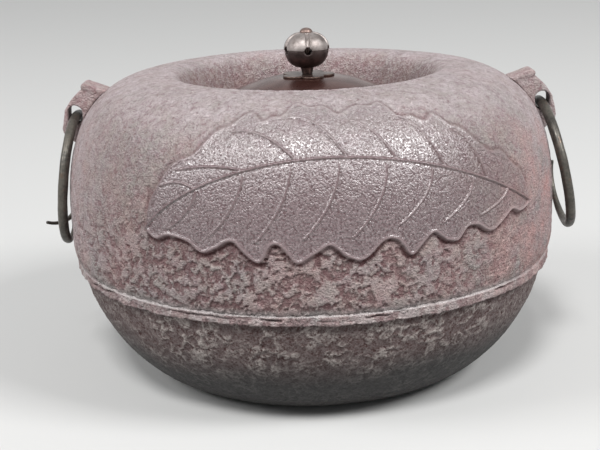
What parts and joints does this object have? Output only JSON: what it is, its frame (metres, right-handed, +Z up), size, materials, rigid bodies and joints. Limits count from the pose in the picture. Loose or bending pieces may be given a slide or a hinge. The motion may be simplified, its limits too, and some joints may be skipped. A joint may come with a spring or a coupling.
{
  "type": "chagama kettle",
  "caption": "Round cast-iron tea kettle with a rolled-in mouth, domed bronze lid with lobed knob, and two carrying rings that swing in ears on the shoulder.",
  "frame": {"origin": "middle of the flat bottom, on the axis of the body", "axes": "+Z up along the axis of the body, -Y towards the front with the leaf relief, the ears on +X and -X"},
  "size_m": [0.2909, 0.26, 0.1818],
  "materials": {
    "upper_iron": "reddish-brown cast skin, finely pitted, with grey high spots",
    "lower_iron": "dark grey-brown crusty cast skin",
    "ring_iron": "smooth forged dark iron with an olive-brown sheen",
    "lid_bronze": "dark red-brown patinated bronze, polished",
    "seat_bronze": "dark patinated bronze",
    "knob_bronze": "grey-brown patinated bronze, satin",
    "rivet_copper": "dull red copper",
    "plate_iron": "rough dark iron",
    "lacquer": "dull black-brown lacquer putty"
  },
  "bodies": {
    "kettle": {"upper_body": "upper_iron", "lower_body": "lower_iron", "seam_lacquer": "lacquer", "ear_left": "upper_iron", "ear_right": "upper_iron", "sounding_plate_1": "plate_iron", "sounding_plate_2": "plate_iron", "sounding_plate_3": "plate_iron", "sounding_plate_4": "plate_iron", "sounding_plate_5": "plate_iron", "plate_lacquer_1": "lacquer", "plate_lacquer_2": "lacquer", "plate_lacquer_3": "lacquer", "plate_lacquer_4": "lacquer", "plate_lacquer_5": "lacquer"},
    "lid": {"lid_plate": "lid_bronze", "knob_seat": "seat_bronze", "knob_cup": "knob_bronze", "knob_crown": "knob_bronze", "knob_rivet": "rivet_copper", "rivet_washer": "rivet_copper"},
    "left_ring": {"ring_left": "ring_iron"},
    "right_ring": {"ring_right": "ring_iron"}
  },
  "joints": [
    {"name": "lid_lift", "type": "slide", "parent": "kettle", "child": "lid", "axis": [0, 0, 1], "range_m": [0, 0.12]},
    {"name": "left_ring_swing", "type": "hinge", "parent": "kettle", "child": "left_ring", "pos_m": [-0.12526, 0, 0.1386], "axis": [0, 1, 0], "range_deg": [0, 218]},
    {"name": "right_ring_swing", "type": "hinge", "parent": "kettle", "child": "right_ring", "pos_m": [0.12526, 0, 0.1386], "axis": [0, -1, 0], "range_deg": [-5, 212]}
  ]
}
